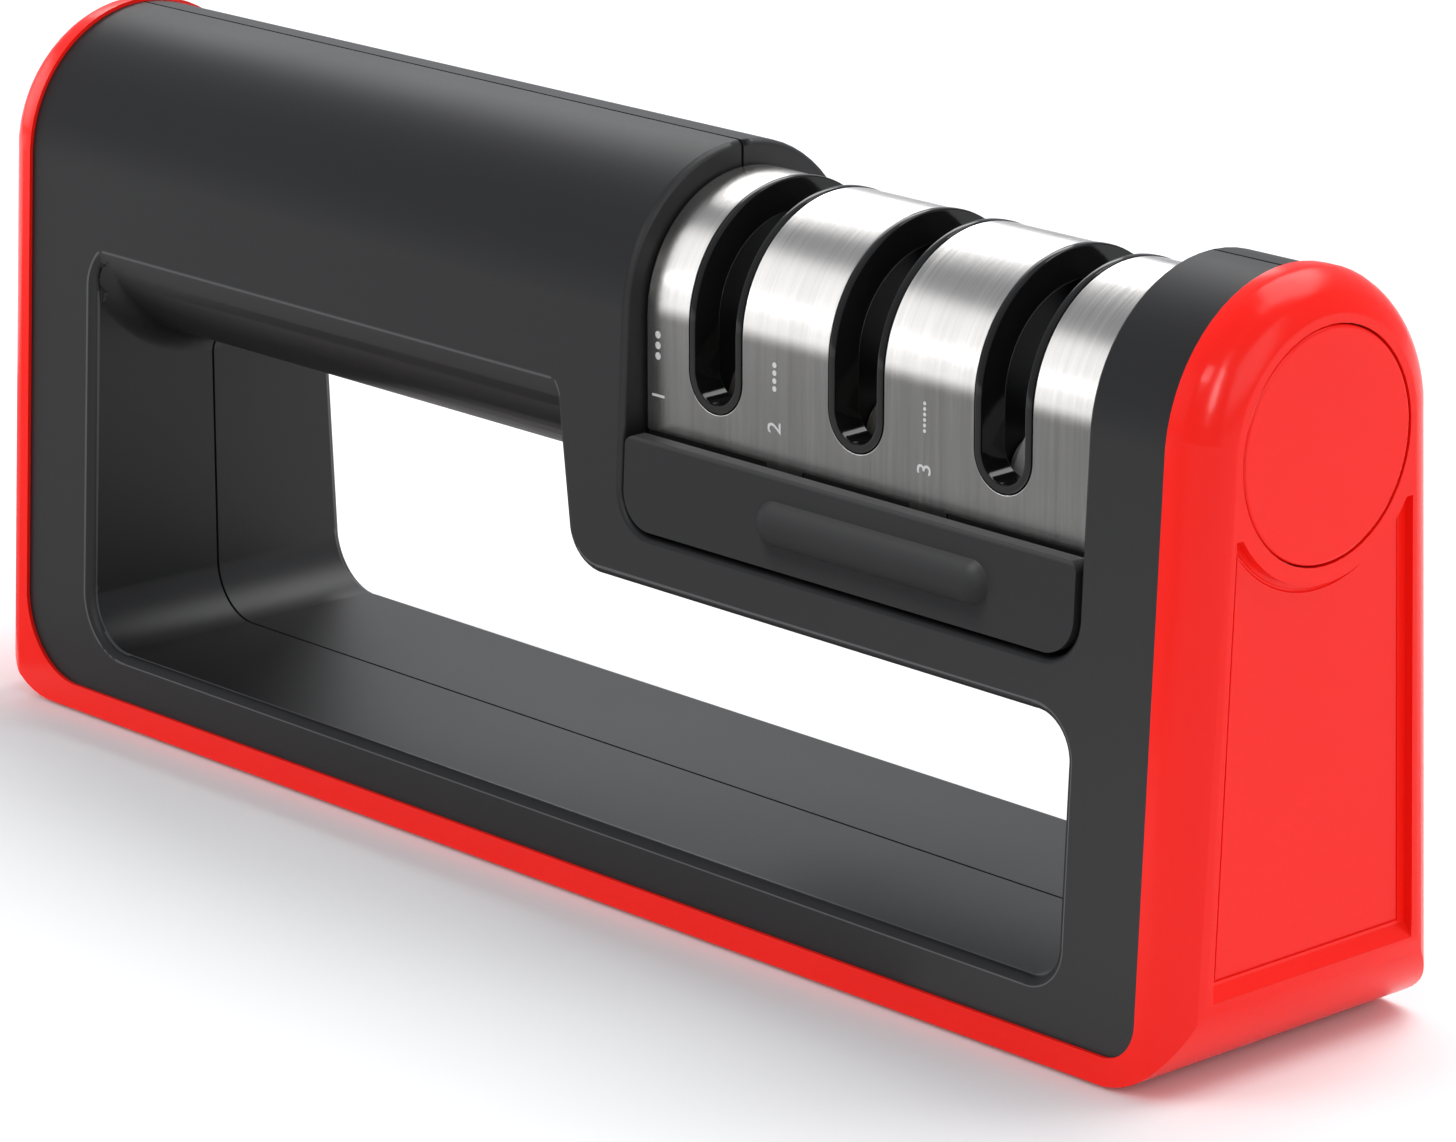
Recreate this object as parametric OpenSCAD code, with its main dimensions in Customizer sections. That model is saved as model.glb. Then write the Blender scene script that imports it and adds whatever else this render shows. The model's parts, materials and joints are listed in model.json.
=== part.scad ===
// Knife sharpener with three stages: an arched body with a hand hole, a drop-in sharpening
// cartridge under a bent steel cover, and a flat base frame with upright end walls.
// X runs along the length, the front is at -Y, Z points up and the table is at Z = 0.

/* [Body] */
// Length of the two-part body
body_len = 168; // [164:1:190]
// Height of the body's top above the table
body_top = 75; // [74:0.5:82]
// Radius of the arched top
arch_r = 15.5; // [15.2:0.1:16.5]
// Half width of the body at its lower edge
foot_half = 18.2; // [17.6:0.1:21]
// Height of the body's lower edge above the table
body_low = 3.1; // [2.8:0.1:3.6]
// Corner radius at the lower left of the body
corner_left = 9; // [5:0.5:10]
// Corner radius at the lower right of the body
corner_right = 4; // [2:0.5:8]
// Wall of the hollow handle
handle_wall = 2.2; // [1.6:0.1:3]
// Thickness of the ribs inside the handle
handle_rib = 1.6; // [1:0.1:2.4]
// Place of the left rib along the handle's hollow, as a share of its length
rib_share_left = 0.15; // [0.1:0.01:0.2]
// Place of the right rib along the handle's hollow
rib_share_right = 0.52; // [0.45:0.01:0.6]
// Place of the left screw boss along the handle's hollow
boss_share_left = 0.3; // [0.25:0.01:0.35]
// Place of the right screw boss along the handle's hollow
boss_share_right = 0.75; // [0.7:0.01:0.85]
// Width of the seam groove between the two shells
seam_w = 0.3; // [0.2:0.05:0.6]
// Depth of the seam groove
seam_d = 0.35; // [0.2:0.05:0.6]

/* [Window] */
// Width of the upright posts at both ends of the window
post_w = 10.8; // [9.5:0.1:13]
// Height of the rail under the window
rail_h = 5; // [4.6:0.1:7]
// Thickness of the bridge between window and notch
bridge_t = 5.3; // [4.6:0.1:6.5]
// Width of the divider between window and notch at its foot
divider_low = 7.2; // [6.4:0.1:9]
// Width of the divider at the window's upper edge
divider_high = 10.5; // [9.6:0.1:13]
// Distance from the body's top down to the window's upper edge, on the side face
handle_side = 23.1; // [21.5:0.1:24]
// Height of the handle at its middle
handle_h = 34.6; // [33:0.1:36]
// Radius of the handle's underside
under_r = 16.8; // [16.4:0.1:17.5]
// Fillet between the handle's underside and the left post
blend_r = 3; // [1:0.1:4]
// Window corner radius at the lower left
win_r_low_left = 6; // [3:0.5:8]
// Window corner radius at the upper left
win_r_top_left = 4.5; // [3:0.5:6]
// Window corner radius at the top of the divider
win_r_divider = 3; // [2:0.5:4]
// Window corner radius at the foot of the divider
win_r_step = 5; // [2:0.5:6]
// Window corner radius at the upper right
win_r_top_right = 4.2; // [2:0.1:6]
// Window corner radius at the lower right
win_r_low_right = 3.5; // [2:0.5:6]
// Rounding of the window's edges
lip_r = 1.3; // [0.6:0.1:1.6]

/* [Notch] */
// Depth of the cartridge notch below the body's top
notch_depth = 36.4; // [35.4:0.1:37]
// Length of the notch
notch_len = 62.2; // [62:0.1:66]
// Width of the tower to the right of the notch
tower_w = 10; // [9:0.1:12]
// Radius of the notch's lower corners
notch_corner = 4.3; // [3:0.1:6]
// Rounding of the notch's rim
rim_r = 0.8; // [0.4:0.1:1.2]
// Depth of the pocket in the notch floor that takes the cartridge's keel
pocket_d = 2.5; // [2:0.1:3]

/* [Base frame] */
// Thickness of the frame's upright end walls
wall_t = 5.2; // [4.8:0.1:7]
// How far the frame stands proud of the body
frame_proud = 0.4; // [0.2:0.1:0.8]
// Height of the frame's underside above the table
frame_lift = 0.4; // [0.3:0.1:0.8]
// Radius of the frame's lower corners, seen from the front
frame_corner = 9.6; // [8:0.2:12]
// Rounding of the end walls' outer edges
end_r = 5; // [2:0.1:5]
// Depth of the leaf-shaped panel in each end wall
leaf_d = 0.95; // [0.5:0.05:1.4]
// Half width of the panel at its foot
leaf_low_half = 13.55; // [12:0.05:13.6]
// Half width of the panel at its top
leaf_top_half = 11.8; // [11:0.1:12]
// Height of the panel's foot above the table, on the panel floor
leaf_low = 10.7; // [10:0.1:14]
// Height of the panel's top corners above the table
leaf_top = 52.6; // [50:0.1:53]
// Radius of the concave panel top round the end cap
leaf_arch_r = 12.9; // [12.4:0.1:14]
// Drop of the slope below the panel's foot
leaf_slope = 1.3; // [0.5:0.1:2]

/* [End caps] */
// Radius of the round caps
cap_r = 11.1; // [9:0.1:11.4]
// Thickness of the caps
cap_t = 2; // [1.5:0.1:2.4]
// Gap round the caps
cap_gap = 0.15; // [0.08:0.01:0.3]
// Distance of the cap's centre below the arch centre
cap_drop = 0.1; // [0:0.1:1]
// Rounding of the cap's rim
cap_edge = 0.35; // [0.2:0.05:0.6]

/* [Cartridge] */
// Distance from the body's top down to the top of the steel cover
cover_drop = 2.5; // [2:0.1:3.5]
// Outer radius of the steel cover
cover_r = 13; // [12.9:0.05:13.1]
// Thickness of the cover's sheet
sheet_t = 0.6; // [0.4:0.05:0.7]
// Gap between the cartridge and the notch walls
side_gap = 0.4; // [0.3:0.05:0.8]
// Height of the cartridge's ledge above the notch floor
ledge_h = 9.6; // [9.2:0.1:10.4]
// Gap between the liner and the steel cover
liner_gap = 0.05; // [0.03:0.01:0.1]
// Wall of the slot liner
liner_t = 1.25; // [0.8:0.05:1.4]
// Depth of the collars, from the outside inwards
collar_depth = 3.3; // [2.6:0.1:3.4]
// How far the collars stand proud of the steel
collar_proud = 0.1; // [0.05:0.05:0.3]
// Gap between a collar and the steel's slot
collar_gap = 0.1; // [0.05:0.01:0.2]
// Wall of the collars
collar_wall = 0.9; // [0.6:0.05:1.2]
// Width of the slots in the steel
slot_w = 7.6; // [7:0.1:8.4]
// Height of the slots' lower ends above the ledge
slot_rise = 3.3; // [2.6:0.1:5]
// Distance from the notch's left wall to the first slot
first_slot = 10.2; // [10:0.1:11]
// Distance from slot to slot
stage_pitch = 19.5; // [19:0.1:20]
// Clearance under the carrier, above the notch floor
carrier_gap = 0.4; // [0.3:0.05:0.6]
// Half width of the carrier
carrier_half = 12.9; // [12.6:0.05:12.95]
// Half width of the space for the wheels in the carrier
trough_half = 9; // [8.9:0.05:9.3]
// Thickness of the carrier's floor
floor_t = 2; // [1.4:0.1:2.1]
// Thickness of the carrier's end walls
end_t = 3; // [2.4:0.1:3.4]
// Thickness of the webs between the stages
web_t = 1.6; // [1.2:0.1:2.4]
// Length of the keel under the carrier
keel_len = 50; // [40:1:54]
// Width of the keel
keel_w = 8; // [6:0.5:12]
// Clearance round the keel and under it
keel_gap = 0.3; // [0.2:0.05:0.5]
// Width of the tabs that hold the steel cover
tab_w = 5; // [3:0.5:7]
// Length of the tabs
tab_len = 3; // [2:0.1:4]

/* [Side grips] */
// Thickness of the grip plates
grip_t = 1.9; // [1.5:0.1:2]
// Gap round the grips
grip_gap = 0.5; // [0.3:0.05:0.8]
// Rounding of the grips' upper edge
grip_edge = 0.5; // [0.3:0.1:0.9]
// Rounding of the grips' upper corners
grip_top_corner = 1; // [0.5:0.1:2]
// Length of the raised ridge
ridge_len = 31; // [20:1:40]
// Height of the ridge on the grip's face
ridge_w = 4.4; // [3:0.1:5]
// How far the ridge stands proud
ridge_proud = 1.4; // [0.8:0.1:1.8]
// Distance from the cartridge's left end to the ridge
ridge_from = 19.3; // [16:0.1:22]
// Height of the ridge's middle above the notch floor
ridge_rise = 5; // [4:0.1:5.5]
// Radius of the guide pegs behind the grips
peg_r = 1.5; // [1:0.1:2]
// Length of the guide pegs
peg_len = 4; // [3.2:0.1:4.2]
// Radial clearance of the guide pegs
peg_gap = 0.1; // [0.05:0.01:0.1]
// Distance of the guide pegs from the cartridge's ends
peg_inset = 7.7; // [7:0.1:12]

/* [Wheels and spindle] */
// Radius of the spindle
spindle_r = 2; // [1.5:0.1:2.4]
// Clearance of the hubs on the spindle
hub_gap = 0.05; // [0.02:0.01:0.1]
// Clearance of the spindle in the carrier
seat_gap = 0.02; // [0.01:0.01:0.05]
// Height of the spindle's axis above the ledge
spindle_rise = 1.8; // [1.6:0.1:2]
// Radius of the wheels
wheel_r = 8.5; // [8:0.1:8.5]
// Radius at the bottom of the V between two wheels
vee_r = 4.6; // [4.2:0.1:6]
// Half width of the V at the wheels' rims
vee_half = 1.3; // [1:0.1:1.8]
// Width of each wheel
wheel_w = 3.35; // [2.6:0.05:3.35]
// Gap between the two wheels of a stage
wheel_gap = 0.1; // [0.05:0.05:0.3]
// Outer radius of the hub under the wheels
hub_r = 3.5; // [3:0.1:3.6]
// Radius of the hub's flanges
flange_r = 5; // [4.4:0.1:6]
// Half length of a hub
hub_half = 4.5; // [4.3:0.1:4.8]
// Outer radius of the spacers
spacer_r = 3.2; // [2.8:0.1:4]
// Gap beside the hubs, along the spindle
axial_gap = 0.15; // [0.1:0.05:0.25]
// Radius of the spring clips on the spindle
clip_r = 3.5; // [3:0.1:4]
// Thickness of the clips
clip_t = 0.8; // [0.5:0.1:1]

/* [Screws] */
// Shank radius of the screws
screw_r = 1.4; // [1.2:0.05:1.5]
// Head radius of the screws
head_r = 2.6; // [2.3:0.1:2.7]
// Height of the screw heads
head_h = 1.8; // [1.4:0.1:2]
// Clearance round the screws' shanks
screw_gap = 0.08; // [0.05:0.01:0.15]
// Clearance round the screws' heads
head_gap = 0.3; // [0.2:0.05:0.5]
// Distance from the middle plane to the seats of the shell screws
seat_y = 8; // [7:0.5:9]
// Reach of the shell screws into the front shell
shell_grip = 8; // [6:0.5:9]
// Radius of the screw bosses in the handle
boss_r = 4; // [3.6:0.1:5]
// Height of the screws through the handle, below the arch centre
handle_screw_drop = 1.5; // [0:0.5:3]
// Height of the post screws above the rail
post_screw_rise = 12; // [8:0.5:20]
// Height of the tower screw above the notch floor
tower_screw_rise = 5; // [2:0.5:8]
// Reach of the base screws into the body
base_grip = 3.6; // [3:0.1:4]
// Half distance between the base screws across the body
base_screw_half = 9; // [7:0.5:11]
// Distance of the base screws from the middle, along the body
base_screw_x = 40; // [30:1:60]
// Reach of the end screws into the body
end_grip = 6; // [4:0.5:7]
// Width of the cross recess in the screw heads
cross_w = 0.7; // [0.5:0.1:0.9]
// Depth of the cross recess
cross_d = 0.9; // [0.5:0.1:1]
// Length of the cross recess as a share of the head's width
cross_share = 0.67; // [0.5:0.01:0.8]

/* [Feet] */
// Radius of the rubber feet
foot_r = 4.5; // [3:0.1:5]
// Height of the rubber feet
foot_h = 1.6; // [1.2:0.1:2]
// Gap round the feet in their recesses
foot_gap = 0.1; // [0.05:0.01:0.2]
// Distance of the feet from the frame's ends
foot_inset = 17.2; // [16:0.1:30]
// Distance of the feet from the frame's sides
foot_margin = 7.2; // [6.2:0.1:9]
// Rounding of the feet's lower rims
foot_edge = 0.25; // [0.1:0.05:0.3]

/* [Hidden] */
$fn = 96;
// Overrun of cuts past the faces that they open
over = 1;

// Steps of the window corner that the round handle runs into
corner_steps = 6;

// Share of its radius by which a rounding is set outwards, so that it crosses the walls cleanly
sink_share = 0.016;

// Share of its radius by which a rounding's path is wider than the corner that it goes round
wide_share = 0.012;

// Share of its radius by which a corner's arc is wider, and how far its cutter reaches past it
arc_share = 0.002;
past_share = 1.3;

// Angles at which turned faces begin and end, clear of the middle plane
handle_turn = 120;
bore_turn = 45;

// Body and its sides, which open downwards by the draft angle
body_end = body_len / 2;
arch_z = body_top - arch_r;
draft_reach = norm([foot_half, arch_z - body_low]);
draft = acos(arch_r / draft_reach) - atan2(arch_z - body_low, foot_half);
end_x = body_end + wall_t;
depth = 2 * foot_half + 4 * arch_r;

// Depth by which the flat sides stand in, so that they cross the arch cleanly
side_sink = arch_r / 1000;

// Window
win_x = body_end - post_w;
win_low = body_low + rail_h;
notch_floor = body_top - notch_depth;
win_step = notch_floor - bridge_t;
win_top = body_top - handle_side;
notch_right = body_end - tower_w;
notch_left = notch_right - notch_len;
notch_mid = (notch_left + notch_right) / 2;
under_z = body_top - handle_h + under_r;
// Depth that the fillet under the handle is sunk into the post, so that it meets the wall cleanly
blend_sink = blend_r / 100;
handle_low = body_top - handle_h;
divider_lean = (divider_high - divider_low) / (win_top - win_step);

// Cartridge
cart_left = notch_left + side_gap;
cart_right = notch_right - side_gap;
ledge_z = notch_floor + ledge_h;
cover_z = body_top - cover_drop - cover_r;
carrier_low = notch_floor + carrier_gap;
carrier_floor = carrier_low + floor_t;
carrier_corner = notch_corner - carrier_gap;
keel_low = notch_floor - pocket_d + keel_gap;
liner_r = cover_r - sheet_t - liner_gap;
slot_low = ledge_z + slot_rise;
stage_x = [for (i = [0:2]) notch_left + first_slot + i * stage_pitch];
web_x = [(stage_x[0] + stage_x[1]) / 2, (stage_x[1] + stage_x[2]) / 2];
spindle_z = ledge_z + spindle_rise;
trough_left = cart_left + end_t;
trough_right = cart_right - end_t;
clip_left = trough_left + axial_gap;
clip_right = trough_right - axial_gap - clip_t;

// Grips
grip_left = notch_left + grip_gap;
grip_right = notch_right - grip_gap;
grip_low = notch_floor + grip_gap;
grip_corner = notch_corner - grip_gap;
ridge_z = notch_floor + ridge_rise;
ridge_r = (ridge_w * ridge_w / 4 + ridge_proud * ridge_proud) / (2 * ridge_proud);
peg_z = notch_floor + ridge_rise;
peg_face = side_half(peg_z, -grip_t);

// Feet, caps and screws
cap_z = arch_z - cap_drop;
foot_x = end_x - foot_inset;
foot_side = foot_half - foot_margin;
post_mid = body_end - post_w / 2;
tower_mid = body_end - tower_w / 2;
handle_end = -body_end + end_grip + handle_wall;
handle_span = notch_left - handle_wall - handle_end;
boss_x = [handle_end + handle_span * boss_share_left, handle_end + handle_span * boss_share_right];
rib_x = [handle_end + handle_span * rib_share_left, handle_end + handle_span * rib_share_right];
divider_screw_z = notch_floor + tower_screw_rise;
divider_screw_x = notch_left - divider_at(divider_screw_z) / 2;
shell_screw_at = [
    [-post_mid, win_low + post_screw_rise],
    [boss_x[0], arch_z - handle_screw_drop],
    [boss_x[1], arch_z - handle_screw_drop],
    [divider_screw_x, divider_screw_z],
    [post_mid, win_low + post_screw_rise],
    [tower_mid, divider_screw_z]];

// Half width of the body at a height, grown outwards by a margin
function side_half(z, grow = 0) =
    (arch_r - side_sink + grow - (z - arch_z) * sin(draft)) / cos(draft);

// Height at which the arch runs over into the side
function tangent_z(grow = 0) = arch_z + (arch_r + grow) * sin(draft);

// Width of the divider at a height
function divider_at(z) = divider_low + (z - win_step) * divider_lean;

// Outlines are lists of corners [x, z, radius], counter-clockwise
function unit(v) = v / norm(v);
function at(p, i) = p[(i + len(p)) % len(p)];
function xy(c) = [c[0], c[1]];
function to_prev(p, i) = unit(xy(at(p, i - 1)) - xy(at(p, i)));
function to_next(p, i) = unit(xy(at(p, i + 1)) - xy(at(p, i)));
function half_angle(p, i) = acos(to_prev(p, i) * to_next(p, i)) / 2;
function cut_back(p, i) = at(p, i)[2] / tan(half_angle(p, i));
function tangent_in(p, i) = xy(at(p, i)) + to_prev(p, i) * cut_back(p, i);
function tangent_out(p, i) = xy(at(p, i)) + to_next(p, i) * cut_back(p, i);
function arc_centre(p, i) =
    xy(at(p, i)) + unit(to_prev(p, i) + to_next(p, i)) * at(p, i)[2] / sin(half_angle(p, i));
function turns_left(p, i) = cross(-to_prev(p, i), to_next(p, i)) > 0;

// Corners of the window, of the notch and of the body, seen from the front
function window_corners() = [
    [-win_x, win_low, win_r_low_left],
    [win_x, win_low, win_r_low_right],
    [win_x, win_step, win_r_top_right],
    [notch_left - divider_low, win_step, win_r_step],
    [notch_left - divider_high, win_top, win_r_divider],
    [-win_x, win_top, win_r_top_left]];
function notch_corners(grow = 0) = [
    [notch_left - grow, notch_floor - grow, notch_corner + grow],
    [notch_right + grow, notch_floor - grow, notch_corner + grow],
    [notch_right + grow, body_top + arch_r, 0],
    [notch_left - grow, body_top + arch_r, 0]];
function body_corners() = [
    [-body_end, body_low, corner_left],
    [body_end, body_low, corner_right],
    [body_end, body_top + arch_r, 0],
    [-body_end, body_top + arch_r, 0]];

// A left turn's arc as short straight steps that touch the arc from outside
function arc_steps(p, i, n) = [for (k = [0:n - 1])
    let (c = arc_centre(p, i), from = tangent_in(p, i) - c,
        step = (180 - 2 * half_angle(p, i)) / n, r = p[i][2] / cos(step / 2),
        a = atan2(from[1], from[0]) + (k + 1 / 2) * step)
    [c[0] + r * cos(a), c[1] + r * sin(a), 0]];

// The area inside rounded corners
module rounded(p) {
    difference() {
        union() {
            polygon([for (c = p) xy(c)]);
            for (i = [0:len(p) - 1])
                if (at(p, i)[2] > 0 && !turns_left(p, i)) beyond_arc(p, i);
        }
        for (i = [0:len(p) - 1])
            if (at(p, i)[2] > 0 && turns_left(p, i)) beyond_arc(p, i);
    }
}

// What lies between a corner's arc and the corner, and some way past it
module beyond_arc(p, i) {
    c = arc_centre(p, i);
    difference() {
        polygon([for (q = [c, tangent_in(p, i), xy(at(p, i)), tangent_out(p, i)])
            c + (q - c) * past_share]);
        translate(c) circle(r = at(p, i)[2] * (1 + arc_share));
    }
}

// A front-view outline carried through the depth
module along_y(length = depth) {
    rotate([90, 0, 0]) linear_extrude(length, center = true) children();
}

// An end-view outline carried along the length
module along_x(from, to) {
    translate([from, 0, 0]) rotate([90, 0, 90]) linear_extrude(to - from) children();
}

// A profile [radius, place along X] turned round an axis along X
module turned(z, from = 0, sweep = 360) {
    translate([0, 0, z]) rotate([0, 90, 0]) rotate([0, 0, from])
        rotate_extrude(angle = sweep) children();
}

// End view of the body, grown by a margin
module section(grow = 0) {
    low = -over;
    touch_y = (arch_r - side_sink + grow) * cos(draft);
    touch_z = tangent_z(grow - side_sink);
    translate([0, arch_z]) circle(r = arch_r + grow);
    polygon([[-side_half(low, grow), low], [side_half(low, grow), low],
        [touch_y, touch_z], [-touch_y, touch_z]]);
}

// End view of a bent sheet's outside: half round above, straight legs below
module u_area(r) {
    translate([0, cover_z]) circle(r = r);
    translate([-r, ledge_z]) square([2 * r, cover_z - ledge_z]);
}

// Front view of a slot, open at the top
module slot_area(width, low) {
    translate([0, low + width / 2]) circle(r = width / 2);
    translate([-width / 2, low + width / 2]) square([width, body_top]);
}

// Puts cutters that round edges by r on the sloping front and back faces, moved up the slope so
// that they end on the level walls of the openings
module on_sides(r, grow = 0) {
    for (back = [0, 1])
        mirror([0, back, 0])
            translate([0, -side_half(0, grow), 0])
                rotate([90 - draft, 0, 0]) translate([0, r * tan(draft), 0]) children();
}
function up_slope(z) = z / cos(draft);
function on_slope(p) = [for (c = p) [c[0], up_slope(c[1]), c[2]]];

// Profile that rounds a corner at the origin, with the body to the lower left
module round_profile(r) {
    reach = r * (1 - sink_share);
    difference() {
        translate([-reach, -reach]) square(r + over / 2);
        translate([-reach, -reach]) circle(r = r);
    }
}

// A rounding runs round a corner on a slightly wider arc, which crosses the straight ones beside
// it at a clean angle: that angle, and how much further the straight and the turned cutters run
function wide(r) = r * wide_share;
function crossing(arc_r, r) = acos(arc_r / (arc_r + wide(r)));
function straight_on(arc_r, r) = arc_r * sin(2 * crossing(arc_r, r));
function run_on(p, i, r) = turns_left(p, i) ? 0 : straight_on(at(p, i)[2], r);
function sweep_on(p, i, r) = turns_left(p, i) ? 2 * crossing(at(p, i)[2], r) : 0;

// Cutter that rounds the straight edge from a to b, with the opening to its left
module edge_cut(a, b, r, before = 0, after = 0) {
    d = b - a;
    translate(a - unit(d) * before) rotate(atan2(d[1], d[0])) rotate([90, 0, 90])
        linear_extrude(norm(d) + before + after) round_profile(r);
}

// Cutter that rounds the straight edge of an opening between two of its corners
module between_cut(p, i, r) {
    edge_cut(tangent_out(p, i), tangent_in(p, i + 1), r, run_on(p, i, r), run_on(p, i + 1, r));
}

// Cutter that rounds the edge of an opening along one of its corner arcs
module corner_cut(p, i, r) {
    c = arc_centre(p, i);
    left = turns_left(p, i);
    from = (left ? tangent_in(p, i) : tangent_out(p, i)) - c;
    more = sweep_on(p, i, r);
    translate(c) rotate(atan2(from[1], from[0]) - more)
        rotate_extrude(angle = 180 - 2 * half_angle(p, i) + 2 * more)
            translate([at(p, i)[2] + wide(r), 0]) mirror([left ? 1 : 0, 0]) round_profile(r);
}

// Cutter that rounds the arched edge at a place along X, on the side that opening points to
module arch_cut(x, opening, r, grow = 0) {
    turned(arch_z, 90 + draft, 180 - 2 * draft)
        translate([arch_r + grow + wide(r), x]) mirror([0, opening > 0 ? 0 : 1])
            round_profile(r);
}

// The round bar of the handle, from the left post to the notch
module handle_bar() {
    from = -win_x - lip_r - over;
    turned(under_z, handle_turn) translate([0, from]) square([under_r, notch_left - from]);
}

// The fillet that runs the bar into the left post
module handle_blend() {
    from = -win_x - over;
    middle = blend_r - win_x - blend_sink;
    turned(under_z, handle_turn) difference() {
        translate([under_r - over, from]) square([blend_r + over, middle - from]);
        translate([under_r + blend_r * (1 - sink_share), middle]) circle(r = blend_r);
    }
}

// The window through the body, under the round handle
module window_cut() {
    w = window_corners();
    p = on_slope(w);
    difference() {
        union() {
            difference() {
                along_y() rounded(
                    concat([for (i = [0:3]) w[i]], arc_steps(w, 4, corner_steps), [w[5]]));
                handle_blend();
            }
            on_sides(lip_r) {
                for (i = [0, 1, 2, 3, 5]) between_cut(p, i, lip_r);
                for (i = [0:5]) corner_cut(p, i, lip_r);
            }
        }
        handle_bar();
    }
}

// The notch for the cartridge, with its rounded rim
module notch_cut() {
    p = on_slope(notch_corners());
    top = up_slope(tangent_z());
    past = straight_on(arch_r, rim_r);
    along_y() rounded(notch_corners());
    on_sides(rim_r) {
        between_cut(p, 0, rim_r);
        edge_cut(tangent_out(p, 1), [notch_right, top], rim_r, 0, past);
        edge_cut([notch_left, top], tangent_in(p, 0), rim_r, past, 0);
        for (i = [0, 1]) corner_cut(p, i, rim_r);
    }
    arch_cut(notch_left, 1, rim_r);
    arch_cut(notch_right, -1, rim_r);
    translate([notch_mid, 0, notch_floor - pocket_d / 2])
        cube([keel_len + 2 * keel_gap, keel_w + 2 * keel_gap, pocket_d], center = true);
}

// The hollow of the handle, between its ribs and screw bosses
module handle_hollow() {
    difference() {
        along_x(handle_end, handle_end + handle_span) intersection() {
            translate([0, arch_z]) circle(r = arch_r - handle_wall);
            translate([0, under_z]) circle(r = under_r - handle_wall);
        }
        for (x = rib_x)
            translate([x - handle_rib / 2, -arch_r, handle_low])
                cube([handle_rib, 2 * arch_r, handle_h]);
        for (x = boss_x)
            translate([x, 0, arch_z - handle_screw_drop]) rotate([90, 0, 0])
                cylinder(r = boss_r, h = 2 * arch_r, center = true);
    }
}

// The fine groove where the two shells meet, over the top and round window and notch
module seam_cut() {
    translate([-body_end - over, -seam_w / 2, body_top - seam_d])
        cube([body_len + 2 * over, seam_w, over]);
    along_y(seam_w) rounded(notch_corners(seam_d));
    along_y(seam_w) rounded([
        [-win_x - seam_d, win_low - seam_d, win_r_low_left + seam_d],
        [win_x + seam_d, win_low - seam_d, win_r_low_right + seam_d],
        [win_x + seam_d, win_step + seam_d, win_r_top_right + seam_d],
        [notch_left - divider_low + seam_d, win_step + seam_d, win_r_step - seam_d],
        [notch_left - divider_at(handle_low) + seam_d, handle_low + seam_d, 0],
        [-win_x - seam_d, handle_low + seam_d, blend_r + seam_d]]);
}

// Bores of the shell screws, with their deep counterbores in the back
module shell_screw_bores() {
    for (s = shell_screw_at)
        translate([s[0], 0, s[1]]) rotate([-90, 0, 0]) {
            translate([0, 0, -shell_grip - over / 2])
                cylinder(r = screw_r + screw_gap, h = shell_grip + seat_y + over);
            translate([0, 0, seat_y]) cylinder(r = head_r + head_gap, h = depth);
        }
}

// Bores of the base screws: pilot holes above, countersinks in the frame
module base_screw_bores() {
    for (x = [-base_screw_x, base_screw_x])
        for (y = [-base_screw_half, base_screw_half])
            translate([x, y, 0]) {
                cylinder(r = screw_r + screw_gap, h = body_low + base_grip + over / 2);
                cylinder(r = head_r + head_gap, h = frame_lift + head_h);
            }
}

// Bores of the end screws under the caps
module end_screw_bores() {
    for (side = [0, 1])
        mirror([side, 0, 0])
            translate([end_x - cap_t, 0, cap_z]) rotate([0, -90, 0]) rotate(bore_turn) {
                cylinder(r = screw_r + screw_gap, h = wall_t - cap_t + end_grip + over / 2);
                cylinder(r = head_r + head_gap, h = head_h);
            }
}

// The body before it is parted into its two shells
module body_solid() {
    difference() {
        intersection() {
            along_x(-body_end, body_end) section();
            along_y() rounded(body_corners());
        }
        window_cut();
        notch_cut();
        handle_hollow();
        seam_cut();
        shell_screw_bores();
        base_screw_bores();
        end_screw_bores();
    }
}

// One side of the middle plane: front for -1, back for 1
module side_of(side) {
    translate([-body_len, side > 0 ? 0 : -depth, -over])
        cube([2 * body_len, depth, 2 * body_top]);
}

module front_shell() {
    color("#3a3a3a") intersection() {
        body_solid();
        side_of(-1);
    }
}

module back_shell() {
    color("#3a3a3a") intersection() {
        body_solid();
        side_of(1);
    }
}

// The leaf-shaped panel sunk into the right end wall, with a sloping foot
module leaf_cut() {
    foot = leaf_low - leaf_slope;
    difference() {
        union() {
            along_x(end_x - leaf_d, end_x + over) polygon([
                [-leaf_low_half, leaf_low], [leaf_low_half, leaf_low],
                [leaf_top_half, leaf_top], [-leaf_top_half, leaf_top]]);
            along_y(2 * leaf_low_half) polygon([
                [end_x - leaf_d, leaf_low], [end_x, foot],
                [end_x + over, foot], [end_x + over, leaf_low]]);
        }
        translate([end_x - 2 * over, 0, cap_z]) rotate([0, 90, 0])
            cylinder(r = leaf_arch_r, h = 4 * over);
    }
}

// Rounds the outer edges of the right end wall
module end_edge_cut() {
    top = up_slope(tangent_z(frame_proud));
    past = straight_on(arch_r + frame_proud, end_r);
    on_sides(end_r, frame_proud) edge_cut([end_x, top], [end_x, 0], end_r, past, over);
    arch_cut(end_x, 1, end_r, frame_proud);
}

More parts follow.
